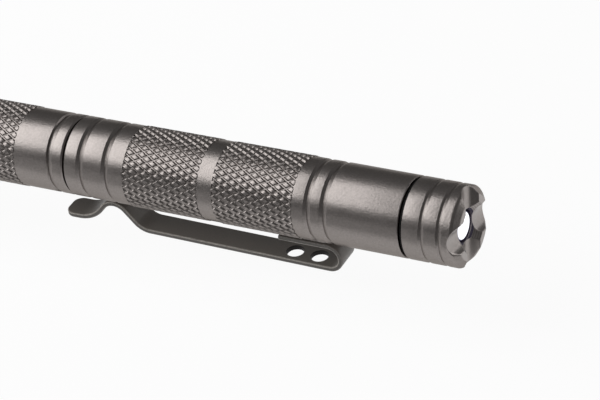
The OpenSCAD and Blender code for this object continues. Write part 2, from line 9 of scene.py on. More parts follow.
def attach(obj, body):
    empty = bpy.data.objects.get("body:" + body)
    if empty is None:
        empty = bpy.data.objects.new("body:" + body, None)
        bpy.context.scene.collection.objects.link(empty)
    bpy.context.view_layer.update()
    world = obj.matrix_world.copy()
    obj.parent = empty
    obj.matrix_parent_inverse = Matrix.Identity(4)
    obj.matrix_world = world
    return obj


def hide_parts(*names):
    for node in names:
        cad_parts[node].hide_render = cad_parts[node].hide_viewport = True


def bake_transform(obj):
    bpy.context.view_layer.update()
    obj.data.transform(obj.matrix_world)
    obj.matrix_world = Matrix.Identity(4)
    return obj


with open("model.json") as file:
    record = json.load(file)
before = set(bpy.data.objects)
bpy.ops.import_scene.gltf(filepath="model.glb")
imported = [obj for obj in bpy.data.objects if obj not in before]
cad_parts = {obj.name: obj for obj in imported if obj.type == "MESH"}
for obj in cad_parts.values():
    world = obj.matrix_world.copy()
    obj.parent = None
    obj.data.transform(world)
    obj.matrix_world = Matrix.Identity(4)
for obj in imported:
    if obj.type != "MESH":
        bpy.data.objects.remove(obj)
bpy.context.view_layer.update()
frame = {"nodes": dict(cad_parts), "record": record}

# Sizes in millimetres, as in the part's source. Stations run along the pen's axis from the seam between
# cap and pen, towards the lamp. Radii are counted from that axis, and the clip's heights downwards from it.
MM = 0.001
SHIFT_X = 9.235
AXIS_Z = 12.0

# Turned barrel and its ring grooves: RING_AHEAD and RING_STEEP are shares of a groove's width
BARREL_R = 6.4
BARREL_SIDES = 192
SEAM = 0.25
EDGE = 0.25
SEAM_EDGE = 0.1
TURNED_SOFT = 0.07
GROOVE_W = 1.25
GROOVE_D = 0.35
RING_AHEAD = 0.25
RING_STEEP = 0.375
RING_FLOOR = 0.02

# Knurl: one diamond's middle lies at KNURL_CENTRE and KNURL_ANGLE. Floor and flanks are counted from the
# middle of a cut, as shares of a cell, and the bevel is the share that follows.
KNURL_R = 6.498
KNURL_STARTS = 34
KNURL_PITCH = 2.22
KNURL_CENTRE = 28.49
KNURL_ANGLE = 130.6
KNURL_FLOOR = 0.055
KNURL_FLANK = 0.26
KNURL_DEPTH = 0.23
CROSS_FLANK = 0.15
CROSS_BEVEL = 0.07
CROSS_DEPTH = 0.18
CROSS_EDGE = 0.035
KNURL_MARGIN = 3
BAND_CORE_R = 6.06
BAND_SINK = 0.06

# Cap
CAP_RINGS = (2.9, 7.5, 43.2, 45.95)
CAP_BANDS = ((11.1, 24.4), (27.0, 40.9))
CAP_END = 58.85
SOCKET_X = 52.55
SOCKET_R = 5.33
BAY_X = 42.0
BAY_R = 4.48
CAVITY_END = 35.52
CAVITY_R = 4.8
MOUTH_END = 7.6
MOUTH_R = 4.9
MOUTH_BREAK = 0.2
MOUTH_THREAD = (7.2, 0.95)
MOUTH_THREAD_D = 0.28

# Pen half
PEN_RINGS = (-67.05, -64.3, -43.8, -41.05)
PEN_BANDS = ((-60.7, -47.4), (-38.75, -24.85), (-22.25, -8.95))
COLLAR_X = -2.75
COLLAR_STEEP = 0.175
COLLAR_FLANK = 0.95
SPIGOT_R = 4.85
SPIGOT_END = 7.0
SPIGOT_THREAD = (1.95, 6.75)
SPIGOT_THREAD_D = 0.32
SEAL_SLOT = (0.5, 1.7)
SEAL_SLOT_R = 4.15
NOSE_SOCKET_X = 2.3
NOSE_SOCKET_R = 3.955
REFILL_BORE_R = 3.02
TAIL_X = -71.85
TAIL_BORE_X = -65.13
TAIL_BORE_R = 4.35

# Helical thread between pen and cap: half its opening and its run-out are shares of the pitch, and
# THREAD_FLAT, above 1, cuts off the point of its V
THREAD_PITCH = 1.0
THREAD_ROWS = 10
THREAD_RUNOUT = 0.6
THREAD_OPEN = 0.42
THREAD_FLAT = 1.25

# Lamp head
HEAD_SIDES = 288
HEAD_BACK = 59.4
HEAD_RINGS = (62.4, 65.3)
HEAD_GROOVE_W = 0.9
HEAD_GROOVE_D = 0.25
SHANK_X = 52.85
SHANK_R = 5.28
NECK_X = 58.87
NECK_R = 5.4
HEAD_THREAD_X = 53.725
HEAD_THREAD_RINGS = 7
HEAD_THREAD_PITCH = 0.75
HEAD_THREAD_W = 0.6
HEAD_THREAD_D = 0.26
HEAD_THREAD_FLOOR = 0.03
LED_SHOULDER = 59.35
HOLE_R = 2.55
# Width of the ring round the lamp hole that takes the hole's dark violet finish, painted shade
HOLE_LIP = 0.3
HOLE_TOP = 66.6

# Crown
CROWN_BASE = 66.4
CROWN_X = 68.4
CROWN_TURN = -9.0
CROWN_EDGE = 0.3
CROWN_SOFT = 0.1
BEVEL_H = 0.9
RIM_R = 5.1
DISH_R = 4.0
DISH_DEPTH = 1.4
NOTCHES = 4
NOTCH_R = 2.6
NOTCH_DEPTH = 1.45
NOTCH_SOFT = 0.28
NOTCH_SHOWS = 0.06
SKIRT_ROWS = 4
EDGE_ROWS = 9
RIM_ROWS = 24
DISH_ROWS = 28

# LED
LED_R = 2.5
LED_CORE_R = 2.0
LED_RIM_R = 2.2
LED_BASE = 58.35
LED_FLANGE_R = 2.9
LED_FLANGE_X = 59.33
LED_NECK = 64.45
LED_FULL = 6.0
LED_SIDES = 96
LED_ROWS = 24
LED_REACH = 89.0

# Pocket clip: its bends and turns are sized along the middle of the strip
CLIP_W = 4.5
CLIP_T = 0.8
CLIP_SOFT = 0.2
SEAT_Z = 6.9
PAD_INSET = 0.3
PAD_ROOT_Z = 5.6
PAD_BREAK = 0.05
FOOT_X = 35.4
BEND_X = 43.7
BEND_Z = 9.45
BEND_MID_R = 2.15
KNEE_X = 42.9
ARM_Z = 11.6
ARM_LEAN = 0.8
ARM_TURN_R = 3.4
HUMP_X = 5.5
HUMP_MID_R = 2.6
HUMP_MID_Z = 7.05
LEG_SLOPE = 50.0
SPOON_R = 5.8
SPOON_Z = 10.8
TIP_X = -4.2
TIP_CORNER = 1.6
TIP_ROUND = 0.12
TIP_STEPS = (2.4, 2.0, 1.6, 1.3, 1.0, 0.75, 0.52, 0.34, 0.2, 0.1, 0.03, 0.0)
TIP_GAP = 0.05
FOOT_ROWS = 28
BEND_ROWS = 32
ARM_ROWS = 60
TURN_ROWS = 14
HUMP_ROWS = 22
CORNER_ROWS = 4
SCREW_X = (36.75, 41.0)
DRIVER_R = 1.4
DRIVER_FLARE = 0.06
DRIVER_SIDES = 48
CUTTER_OVER = 1.0
CUTTER_TIP_R = 1e-3
CLIP_CREASE = 34.0

# Coil springs: both ends, mean radius, curls and wire
CELL_SPRING = (42.02, 44.78, 2.6, 2.25, 0.5)
REFILL_SPRING = (18.04, 24.1, 1.98, 6, 0.4)
COIL_STEPS = 28
WIRE_SIDES = 12

# Finishes of a turned piece and of the clip, by the number of their material slot, and the sides of the
# clip's section that are painted lighter as a highlight or darker as shade, counted around it
PLAIN, CUT_SHADED, BORE, MILLED_HIGHLIGHT, HOLE_SHADE = range(5)
COAT, EDGE_HIGHLIGHT, PUNCHED_SHADE, SIDE_SHADE = range(4)
# Rounded edges along the arm's inner face, painted lighter as a highlight
HIGHLIGHT_SIDES = (10, 11, 12, 13, 15, 16, 17, 18)
# The strip's two flat sides, painted darker as shade
SHADED_SIDES = (9, 19)


def place(x, y, z):
    """A point of the axis frame, in millimetres, as a point of the shared frame, in metres."""
    return ((x + SHIFT_X) * MM, y * MM, (z + AXIS_Z) * MM)


class Shell:
    """Vertices and faces of one piece, collected in the axis frame."""

    def __init__(self):
        self.verts = []
        self.faces = []
        self.mats = []

    def add(self, verts, faces, mats):
        """Takes in points, faces counted from the first of them and a finish for each face."""
        base = len(self.verts)
        self.verts.extend(verts)
        self.faces.extend([tuple(base + i for i in f) for f in faces])
        self.mats.extend(mats)

    def cap(self, start, count):
        """Closes a ring of points with one face."""
        self.faces.append(tuple(range(start, start + count)))
        self.mats.append(PLAIN)

    def rings(self, rings, mat=PLAIN):
        """Skins a row of rings with the same number of points each."""
        n = len(rings[0])
        verts = [p for ring in rings for p in ring]
        faces = []
        for i in range(len(rings) - 1):
            for k in range(n):
                m = (k + 1) % n
                faces.append((i * n + k, i * n + m, i * n + n + m, i * n + n + k))
        self.add(verts, faces, [mat] * len(faces))

    def closed_rings(self, rings, mat=PLAIN):
        """Skins a row of rings and closes both ends."""
        n = len(rings[0])
        start = len(self.verts)
        self.rings(rings, mat)
        self.cap(start, n)
        self.cap(len(self.verts) - n, n)

    def lathe(self, profile, segments, mat=PLAIN):
        """Turns [station, radius] points about the pen's axis."""
        rings = []
        for x, r in profile:
            ring = []
            for k in range(segments):
                a = 2 * math.pi * k / segments
                ring.append((x, r * math.cos(a), r * math.sin(a)))
            rings.append(ring)
        self.rings(rings, mat)


def fillet(points, radius, steps=3, keep=15.0, share=0.45):
    """Rounds the corners of an open profile that turn by more than keep degrees."""
    out = [points[0]]
    for a, b, c in zip(points, points[1:], points[2:]):
        p, q, r = Vector(a), Vector(b), Vector(c)
        u, v = p - q, r - q
        if u.length < 1e-6 or v.length < 1e-6:
            continue
        turn = math.pi - u.angle(v)
        if turn < math.radians(keep):
            out.append(b)
            continue
        cut = min(radius * math.tan(turn / 2), u.length * share, v.length * share)
        start, end = q + u.normalized() * cut, q + v.normalized() * cut
        for k in range(steps + 1):
            t = k / steps
            s = start.lerp(q, t).lerp(q.lerp(end, t), t)
            out.append((s.x, s.y))
    out.append(points[-1])
    return out


def ring_groove(x, w=GROOVE_W, d=GROOVE_D):
    """Profile of a ring groove in the barrel, with its steep flank on the pen's side."""
    deep = x + (RING_STEEP - RING_AHEAD) * w
    floor_r = BARREL_R - d
    return [
        (x - RING_AHEAD * w, BARREL_R), (deep - RING_FLOOR, floor_r),
        (deep + RING_FLOOR, floor_r), (x + (1 - RING_AHEAD) * w, BARREL_R)]


def head_thread_ring(x):
    """Profile of one ring of the lamp head's thread."""
    half, floor_r = HEAD_THREAD_W / 2, SHANK_R - HEAD_THREAD_D
    return [
        (x - half, SHANK_R), (x - HEAD_THREAD_FLOOR, floor_r),
        (x + HEAD_THREAD_FLOOR, floor_r), (x + half, SHANK_R)]


def lands(stretches, bands):
    """Profile of plain stretches with rounded corners and the core of a knurled band between two."""
    out = fillet(stretches[0], TURNED_SOFT)
    for (x0, x1), stretch in zip(bands, stretches[1:]):
        out += [(x0, BARREL_R), (x0, BAND_CORE_R), (x1, BAND_CORE_R), (x1, BARREL_R)]
        out += fillet(stretch, TURNED_SOFT)
    return out


def finish_mesh(name, shell, sharp=28.0, weld=1e-4):
    """One mesh object in the shared frame, welded, with normals outwards and crisp edges kept."""
    mesh = bpy.data.meshes.new(name)
    mesh.from_pydata(shell.verts, [], shell.faces)
    bm = bmesh.new()
    bm.from_mesh(mesh)
    for f, mat in zip(bm.faces, shell.mats):
        f.material_index = mat
    bmesh.ops.remove_doubles(bm, verts=bm.verts, dist=weld)
    bmesh.ops.recalc_face_normals(bm, faces=bm.faces)
    for v in bm.verts:
        v.co = Vector(place(*v.co))
    for f in bm.faces:
        f.smooth = True
    bm.to_mesh(mesh)
    bm.free()
    mesh.set_sharp_from_angle(angle=math.radians(sharp))
    piece = bpy.data.objects.new(name, mesh)
    bpy.context.scene.collection.objects.link(piece)
    return piece


def knurl(shell, x0, x1):
    """A band of diamonds between two crossed sets of cuts, bevelled along the shallower set."""
    start = math.radians(360.0 / KNURL_STARTS)
    flat = CROSS_FLANK + CROSS_BEVEL
    cross = (KNURL_FLOOR, CROSS_FLANK, flat, 1 - flat, 1 - CROSS_FLANK, 1 - KNURL_FLOOR)
    cross_drop = (CROSS_DEPTH, CROSS_EDGE, 0.0, 0.0, CROSS_EDGE, CROSS_DEPTH)
    main = (KNURL_FLOOR, KNURL_FLANK, 1 - KNURL_FLANK, 1 - KNURL_FLOOR)
    main_drop = (KNURL_DEPTH, 0.0, 0.0, KNURL_DEPTH)
    nu, nv = len(cross), len(main)
    low = math.floor(2 * (x0 - KNURL_CENTRE) / KNURL_PITCH) - KNURL_MARGIN
    high = math.ceil(2 * (x1 - KNURL_CENTRE) / KNURL_PITCH) + KNURL_MARGIN
    bm = bmesh.new()
    made = {}

    def corner(iu, iv):
        """The vertex at a step across each set of cuts, shared by its cells all round the band."""
        turns = iv // (nv * KNURL_STARTS)
        key = (iu - turns * nu * KNURL_STARTS, iv - turns * nv * KNURL_STARTS)
        if key not in made:
            (cell_u, step_u), (cell_v, step_v) = divmod(key[0], nu), divmod(key[1], nv)
            u, v = cell_u + cross[step_u], cell_v + main[step_v]
            x = KNURL_CENTRE + KNURL_PITCH * (u - v) / 2
            a = math.radians(KNURL_ANGLE) + start * ((u + v) / 2 - 0.5)
            r = KNURL_R - max(cross_drop[step_u], main_drop[step_v])
            made[key] = bm.verts.new((x, r * math.cos(a), r * math.sin(a)))
        return made[key]

    for k in range(low, high):
        for n in range(KNURL_STARTS):
            for i in range(nu):
                for j in range(nv):
                    u, v = nu * (n + k) + i, nv * n + j
                    f = bm.faces.new((
                        corner(u, v), corner(u + 1, v), corner(u + 1, v + 1), corner(u, v + 1)))
                    on_top = j == 1 and 1 <= i <= 3
                    on_floor = j == nv - 1
                    # Tops, their bevels and the main cuts' floors stay plain; the flanks and the cross cuts
                    # take the darker cut finish, which is painted shade
                    f.material_index = PLAIN if on_top or on_floor else CUT_SHADED
    for x, side in ((x0, -1), (x1, 1)):
        geom = list(bm.verts) + list(bm.edges) + list(bm.faces)
        bmesh.ops.bisect_plane(
            bm, geom=geom, dist=1e-6, plane_co=(x, 0, 0), plane_no=(side, 0, 0), clear_outer=True)
    sunk = {}
    for edge in [e for e in bm.edges if e.is_boundary]:
        band = edge.link_loops[0]
        a, b = band.link_loop_next.vert, band.vert
        for v in (a, b):
            if v not in sunk:
                scale = (BAND_CORE_R - BAND_SINK) / math.hypot(v.co.y, v.co.z)
                sunk[v] = bm.verts.new((v.co.x, v.co.y * scale, v.co.z * scale))
        skirt = bm.faces.new((a, b, sunk[b], sunk[a]))
        skirt.material_index = band.face.material_index
    bm.verts.index_update()
    faces = [tuple(v.index for v in f.verts) for f in bm.faces]
    shell.add([tuple(v.co) for v in bm.verts], faces, [f.material_index for f in bm.faces])
    bm.free()


def screw_thread(shell, x0, x1, r, rise, pitch):
    """A helical thread between two plain rings: a negative rise cuts a bar, a positive one a bore."""
    rows = int(round((x1 - x0) / pitch * THREAD_ROWS))
    runout = THREAD_RUNOUT * pitch
    rings = []
    for i in range(rows + 1):
        x = x0 + (x1 - x0) * i / rows
        fade = max(0.0, min(1.0, (x - x0) / runout, (x1 - x) / runout))
        ring = []
        for k in range(BARREL_SIDES):
            a = 2 * math.pi * k / BARREL_SIDES
            phase = ((x - x0) / pitch - k / BARREL_SIDES) % 1.0
            cut = max(0.0, 1.0 - abs(phase - 0.5) / THREAD_OPEN)
            rr = r + rise * min(1.0, THREAD_FLAT * cut) * fade
            ring.append((x, rr * math.cos(a), rr * math.sin(a)))
        rings.append(ring)
    shell.rings(rings)


def foot_pad(shell):
    """The raised pad under the clip's foot, which grows out of the barrel."""
    x0, x1 = FOOT_X + PAD_INSET, BEND_X - PAD_INSET
    half = CLIP_W / 2 - PAD_INSET
    rings = []
    for z, shrink in ((-PAD_ROOT_Z, 0.0), (-SEAT_Z + PAD_BREAK, 0.0), (-SEAT_Z, PAD_BREAK)):
        rings.append([
            (x0 + shrink, -half + shrink, z), (x1 - shrink, -half + shrink, z),
            (x1 - shrink, half - shrink, z), (x0 + shrink, half - shrink, z)])
    shell.rings(rings)
    shell.cap(len(shell.verts) - 4, 4)


def lamp_barrel():
    """The cap's tube: grooved and knurled outside, with the cell bay and the threaded cavity inside."""
    shell = Shell()
    lip = [(SEAM, MOUTH_R + MOUTH_BREAK), (SEAM, BARREL_R - EDGE), (SEAM + EDGE, BARREL_R)]
    for x in CAP_RINGS[:2]:
        lip += ring_groove(x)
    lip += [(CAP_BANDS[0][0], BARREL_R)]
    middle = [(CAP_BANDS[0][1], BARREL_R), (CAP_BANDS[1][0], BARREL_R)]
    seat = [(CAP_BANDS[1][1], BARREL_R)]
    for x in CAP_RINGS[2:]:
        seat += ring_groove(x)
    seat += [(CAP_END - SEAM_EDGE, BARREL_R), (CAP_END, BARREL_R - SEAM_EDGE), (CAP_END, SOCKET_R)]
    bay = [(SOCKET_X, SOCKET_R), (SOCKET_X, BAY_R), (BAY_X, BAY_R), (BAY_X, 0.0)]
    shell.lathe(lands([lip, middle, seat], CAP_BANDS) + bay, BARREL_SIDES)
    cavity = [(CAVITY_END, 0.0), (CAVITY_END, CAVITY_R), (MOUTH_END, CAVITY_R)]
    cavity += [(MOUTH_END, MOUTH_R), (MOUTH_THREAD[0], MOUTH_R)]
    shell.lathe(cavity, BARREL_SIDES)
    screw_thread(shell, *MOUTH_THREAD, MOUTH_R, MOUTH_THREAD_D, -THREAD_PITCH)
    mouth = [(MOUTH_THREAD[1], MOUTH_R), (SEAM + MOUTH_BREAK, MOUTH_R), (SEAM, MOUTH_R + MOUTH_BREAK)]
    shell.lathe(mouth, BARREL_SIDES)
    for x0, x1 in CAP_BANDS:
        knurl(shell, x0, x1)
    foot_pad(shell)
    return finish_mesh("lamp_barrel_knurled", shell)


def pen_barrel():
    """The pen's tube, from its tail seam to the threaded spigot, and its bores."""
    shell = Shell()
    tail = [(TAIL_X, TAIL_BORE_R), (TAIL_X, BARREL_R - EDGE), (TAIL_X + EDGE, BARREL_R)]
    for x in PEN_RINGS[:2]:
        tail += ring_groove(x)
    tail += [(PEN_BANDS[0][0], BARREL_R)]
    waist = [(PEN_BANDS[0][1], BARREL_R)]
    for x in PEN_RINGS[2:]:
        waist += ring_groove(x)
    waist += [(PEN_BANDS[1][0], BARREL_R)]
    middle = [(PEN_BANDS[1][1], BARREL_R), (PEN_BANDS[2][0], BARREL_R)]
    collar = [(PEN_BANDS[2][1], BARREL_R), (COLLAR_X - COLLAR_STEEP, BARREL_R)]
    collar += [(COLLAR_X, BARREL_R - GROOVE_D), (COLLAR_X + COLLAR_FLANK, BARREL_R)]
    collar += [(-EDGE, BARREL_R), (0, BARREL_R - EDGE), (0, SPIGOT_R), (SEAL_SLOT[0], SPIGOT_R)]
    collar += [(SEAL_SLOT[0], SEAL_SLOT_R), (SEAL_SLOT[1], SEAL_SLOT_R), (SEAL_SLOT[1], SPIGOT_R)]
    collar += [(SPIGOT_THREAD[0], SPIGOT_R)]
    shell.lathe(lands([tail, waist, middle, collar], PEN_BANDS), BARREL_SIDES)
    screw_thread(shell, *SPIGOT_THREAD, SPIGOT_R, -SPIGOT_THREAD_D, THREAD_PITCH)
    inside = [(SPIGOT_THREAD[1], SPIGOT_R), (SPIGOT_END, SPIGOT_R - EDGE), (SPIGOT_END, NOSE_SOCKET_R)]
    inside += [(NOSE_SOCKET_X, NOSE_SOCKET_R), (NOSE_SOCKET_X, REFILL_BORE_R)]
    inside += [(TAIL_BORE_X, REFILL_BORE_R), (TAIL_BORE_X, TAIL_BORE_R), (TAIL_X, TAIL_BORE_R)]
    shell.lathe(inside, BARREL_SIDES)
    for x0, x1 in PEN_BANDS:
        knurl(shell, x0, x1)
    return finish_mesh("pen_barrel_knurled", shell)


def soft_min(a, b, k):
    """The smaller of two heights, with the corner between them rounded over a width k."""
    h = max(k - abs(a - b), 0.0) / k
    return min(a, b) - h * h * k / 4


def tooth_height(r):
    """Station of the crown's turned face at a radius: dish, flat rim, bevel and rounded outer edge."""
    bevel = CROWN_X - BEVEL_H * (r - RIM_R) / (BARREL_R - RIM_R)
    dish = CROWN_X - DISH_DEPTH * (DISH_R - r) / (DISH_R - HOLE_R)
    x = soft_min(soft_min(bevel, CROWN_X, CROWN_SOFT), soft_min(dish, CROWN_X, CROWN_SOFT), CROWN_SOFT)
    over = r - (BARREL_R - CROWN_EDGE)
    if over > 0:
        x -= CROWN_EDGE - math.sqrt(max(0.0, CROWN_EDGE ** 2 - over ** 2))
    return x


def crown_height(r, a):
    """Station of the crown's face at a radius and an angle; the notches' edges are rounder on the rim."""
    x = tooth_height(r)
    soft = NOTCH_SOFT * (1 + min(1.0, max(0.0, r - DISH_R))) / 2
    centre = CROWN_X - NOTCH_DEPTH + NOTCH_R
    for i in range(NOTCHES):
        d = a - math.radians(90.0 + CROWN_TURN + 360.0 * i / NOTCHES)
        if math.cos(d) <= 0:
            continue
        t = r * math.sin(d)
        if abs(t) < NOTCH_R:
            x = soft_min(x, centre - math.sqrt(NOTCH_R * NOTCH_R - t * t), soft)
    return x


def crown_finish(r, a):
    """Finish of the faces that end at a radius: milled notches and rim painted lighter as a highlight,
    turned dish, and the hole's lip painted dark and violet as shade and LED light.
    """
    if r == HOLE_R:
        return HOLE_SHADE
    if crown_height(r, a) < tooth_height(r) - NOTCH_SHOWS or DISH_R < r < RIM_R:
        return MILLED_HIGHLIGHT
    if r <= DISH_R:
        return HOLE_SHADE if r < HOLE_R + HOLE_LIP else BORE
    return PLAIN


def crown_radii():
    """Radii of the crown's rows, from the barrel's surface over the edge and the rim into the dish."""
    flat = BARREL_R - CROWN_EDGE
    out = []
    for k in range(EDGE_ROWS + 1):
        out.append(BARREL_R - CROWN_EDGE * (1 - math.cos(math.radians(90 * k / EDGE_ROWS))))
    out += [flat - (flat - DISH_R) * k / RIM_ROWS for k in range(1, RIM_ROWS + 1)]
    out += [DISH_R - (DISH_R - HOLE_R) * k / DISH_ROWS for k in range(1, DISH_ROWS)]
    return out + [HOLE_R]


def lamp_head():
    """The bezel with its notched crown, lamp hole and threaded shank."""
    shell = Shell()
    n = HEAD_SIDES
    # The lamp hole's wall takes the dark violet finish: painted shade with the LED's violet light painted
    # in
    shell.lathe([(HOLE_TOP, HOLE_R), (LED_SHOULDER, HOLE_R)], n, HOLE_SHADE)
    shell.lathe([(LED_SHOULDER, HOLE_R), (LED_SHOULDER, BAY_R), (SHANK_X, BAY_R)], n, BORE)
    outside = [(SHANK_X, BAY_R), (SHANK_X, SHANK_R - EDGE), (SHANK_X + EDGE, SHANK_R)]
    for i in range(HEAD_THREAD_RINGS):
        outside += head_thread_ring(HEAD_THREAD_X + HEAD_THREAD_PITCH * i)
    outside += [(NECK_X, SHANK_R), (NECK_X, NECK_R), (HEAD_BACK, NECK_R)]
    outside += [(HEAD_BACK, BARREL_R - SEAM_EDGE), (HEAD_BACK + SEAM_EDGE, BARREL_R)]
    for x in HEAD_RINGS:
        outside += ring_groove(x, HEAD_GROOVE_W, HEAD_GROOVE_D)
    outside += [(CROWN_BASE, BARREL_R)]
    shell.lathe(fillet(outside, TURNED_SOFT), n)
    angles = [2 * math.pi * k / n for k in range(n)]
    rows = []
    for t in range(SKIRT_ROWS):
        ring = []
        for a in angles:
            x = CROWN_BASE + (crown_height(BARREL_R, a) - CROWN_BASE) * t / SKIRT_ROWS
            ring.append((x, BARREL_R * math.cos(a), BARREL_R * math.sin(a)))
        rows.append(ring)
    radii = crown_radii()
    for r in radii:
        rows.append([(crown_height(r, a), r * math.cos(a), r * math.sin(a)) for a in angles])
    rows.append([(HOLE_TOP, HOLE_R * math.cos(a), HOLE_R * math.sin(a)) for a in angles])
    face = len(shell.faces) + (SKIRT_ROWS - 1) * n
    shell.rings(rows)
    for r in radii:
        for a in angles:
            shell.mats[face] = crown_finish(r, a)
            face += 1
    return finish_mesh("lamp_head_crowned", shell, sharp=24.0)


def led_lens():
    """The LED's flange, neck and full, low dome."""
    shell = Shell()
    profile = [(LED_BASE, LED_FLANGE_R), (LED_FLANGE_X, LED_FLANGE_R), (LED_FLANGE_X, LED_R)]
    for k in range(LED_ROWS):
        a = math.radians(LED_REACH * k / (LED_ROWS - 1))
        r = LED_R * math.cos(a) ** (2 / LED_FULL)
        profile.append((LED_NECK + LED_R * math.sin(a) ** (2 / LED_FULL), r))
    shell.lathe(profile, LED_SIDES)
    shell.cap(0, LED_SIDES)
    shell.cap(len(shell.verts) - LED_SIDES, LED_SIDES)
    return finish_mesh("led_lens", shell, sharp=40.0)


def arc_corner(a, b, c, r, steps):
    """Points and headings of a rounded corner of the clip's centre line in its side view."""
    a, b, c = Vector(a), Vector(b), Vector(c)
    u, v = (b - a).normalized(), (c - b).normalized()
    h0, h1 = math.atan2(u.y, u.x), math.atan2(v.y, v.x)
    swing = (h1 - h0 + math.pi) % (2 * math.pi) - math.pi
    hand = 1.0 if swing > 0 else -1.0
    entry = b - u * r * math.tan(abs(swing) / 2)
    centre = entry + hand * r * Vector((-u.y, u.x))
    out = []
    for k in range(steps + 1):
        h = h0 + swing * k / steps
        out.append((centre - hand * r * Vector((-math.sin(h), math.cos(h))), h))
    return out


def clip_stations():
    """Points and headings of the strip's centre line: foot, return bend, arm, hump, spoon and tip."""
    tan_slope, tan_lean = math.tan(math.radians(LEG_SLOPE)), math.tan(math.radians(ARM_LEAN))
    apex = HUMP_MID_Z - HUMP_MID_R * (1 / math.cos(math.radians(LEG_SLOPE)) - 1)
    turn_x = (ARM_Z - apex - tan_lean * KNEE_X + tan_slope * HUMP_X) / (tan_slope - tan_lean)
    turn_z = apex + tan_slope * (turn_x - HUMP_X)
    spoon_x = HUMP_X - (SPOON_Z - apex) / tan_slope
    foot_z = -(SEAT_Z + CLIP_T / 2)
    stations = []
    for k in range(FOOT_ROWS):
        stations.append((Vector((FOOT_X + (BEND_X - FOOT_X) * k / FOOT_ROWS, foot_z)), 0.0))
    for k in range(BEND_ROWS + 1):
        h = math.pi * k / BEND_ROWS
        x, z = BEND_X + BEND_MID_R * math.sin(h), -BEND_Z + BEND_MID_R * math.cos(h)
        stations.append((Vector((x, z)), -h))
    knee, turn = (KNEE_X, -ARM_Z), (turn_x, -turn_z)
    hump, spoon, tip = (HUMP_X, -apex), (spoon_x, -SPOON_Z), (TIP_X, -SPOON_Z)
    lean = math.radians(ARM_LEAN)
    stations.append((Vector(knee), math.pi - lean / 2))
    rise = arc_corner(knee, turn, hump, ARM_TURN_R, TURN_ROWS)
    start, end = Vector(knee), rise[0][0]
    for k in range(1, ARM_ROWS):
        stations.append((start.lerp(end, k / ARM_ROWS), math.pi - lean))
    stations += rise
    stations += arc_corner(turn, hump, spoon, HUMP_MID_R, HUMP_ROWS)
    stations += arc_corner(hump, spoon, tip, SPOON_R, TURN_ROWS)
    last = stations[-1][0]
    for step in TIP_STEPS:
        x = TIP_X + step
        if x < last.x - TIP_GAP:
            stations.append((Vector((x, -SPOON_Z)), math.pi))
    return stations


def strip_section(half_w, half_t, soft):
    """Rounded cross-section of the strip: [across, thickness] points in order."""
    out = []
    corners = ((1, 1, 0), (-1, 1, 90), (-1, -1, 180), (1, -1, 270))
    for sy, sz, a0 in corners:
        for k in range(CORNER_ROWS + 1):
            a = math.radians(a0 + 90.0 * k / CORNER_ROWS)
            across = sy * (half_w - soft) + soft * math.cos(a)
            out.append((across, sz * (half_t - soft) + soft * math.sin(a)))
    return out


def round_off(radius, inset):
    """How far a rounded end of a radius draws in at a distance from its last point."""
    left = radius - max(inset, 0.0)
    return radius - math.sqrt(max(radius ** 2 - left ** 2, 0.0))


def driver_cutter(name, x):
    """The tool that cuts a driver hole with broken edges through the clip's arm."""
    lift = (KNEE_X - x) * math.tan(math.radians(ARM_LEAN))
    back, face = lift - ARM_Z - CLIP_T / 2, lift - ARM_Z + CLIP_T / 2
    wide = DRIVER_R + DRIVER_FLARE
    profile = [(back - CUTTER_OVER, CUTTER_TIP_R), (back - CUTTER_OVER, wide), (back, wide)]
    profile += [(back + DRIVER_FLARE, DRIVER_R), (face - DRIVER_FLARE, DRIVER_R)]
    profile += [(face, wide), (face + CUTTER_OVER, wide), (face + CUTTER_OVER, CUTTER_TIP_R)]
    rings = []
    for z, r in profile:
        ring = []
        for k in range(DRIVER_SIDES):
            a = 2 * math.pi * k / DRIVER_SIDES
            ring.append((x + r * math.cos(a), r * math.sin(a), z))
        rings.append(ring)
    shell = Shell()
    # The holes' walls take a near-black finish: painted shade
    shell.closed_rings(rings, PUNCHED_SHADE)
    return finish_mesh(name, shell, weld=1e-6)


def pocket_clip():
    """The folded strip, in one piece, with its two driver holes, its edges along the arm's inner face
    painted lighter as a highlight and its flat sides painted darker as shade.
    """
    shell = Shell()
    rings = []
    for point, heading in clip_stations():
        d = point.x - TIP_X
        half_w, half_t, soft = CLIP_W / 2, CLIP_T / 2, CLIP_SOFT
        if d < TIP_CORNER:
            half_w -= round_off(TIP_CORNER, d)
        if d < TIP_ROUND:
            half_t -= round_off(TIP_ROUND, d)
            soft = min(soft, half_t)
        side = Vector((-math.sin(heading), math.cos(heading)))
        ring = []
        for across, up in strip_section(half_w, half_t, soft):
            p = point + side * up
            ring.append((p.x, across, p.y))
        rings.append(ring)
    shell.closed_rings(rings, COAT)
    n = len(rings[0])
    # Edges along the arm's inner face are painted lighter as a highlight, and the flat sides darker as
    # shade
    for i in range(len(rings) - 1):
        for k in HIGHLIGHT_SIDES:
            shell.mats[i * n + k] = EDGE_HIGHLIGHT
        for k in SHADED_SIDES:
            shell.mats[i * n + k] = SIDE_SHADE
    clip = finish_mesh("pocket_clip", shell)
    for i, x in enumerate(SCREW_X):
        tool = driver_cutter("cutter_%d" % i, x)
        cut = clip.modifiers.new("hole_%d" % i, "BOOLEAN")
        cut.object = tool
        cut.operation = "DIFFERENCE"
        cut.solver = "EXACT"
        bpy.context.view_layer.update()
        depsgraph = bpy.context.evaluated_depsgraph_get()
        mesh = bpy.data.meshes.new_from_object(clip.evaluated_get(depsgraph))
        clip.modifiers.clear()
        clip.data = mesh
        bpy.data.objects.remove(tool)
    clip.data.shade_smooth()
    clip.data.set_sharp_from_angle(angle=math.radians(CLIP_CREASE))
    return clip


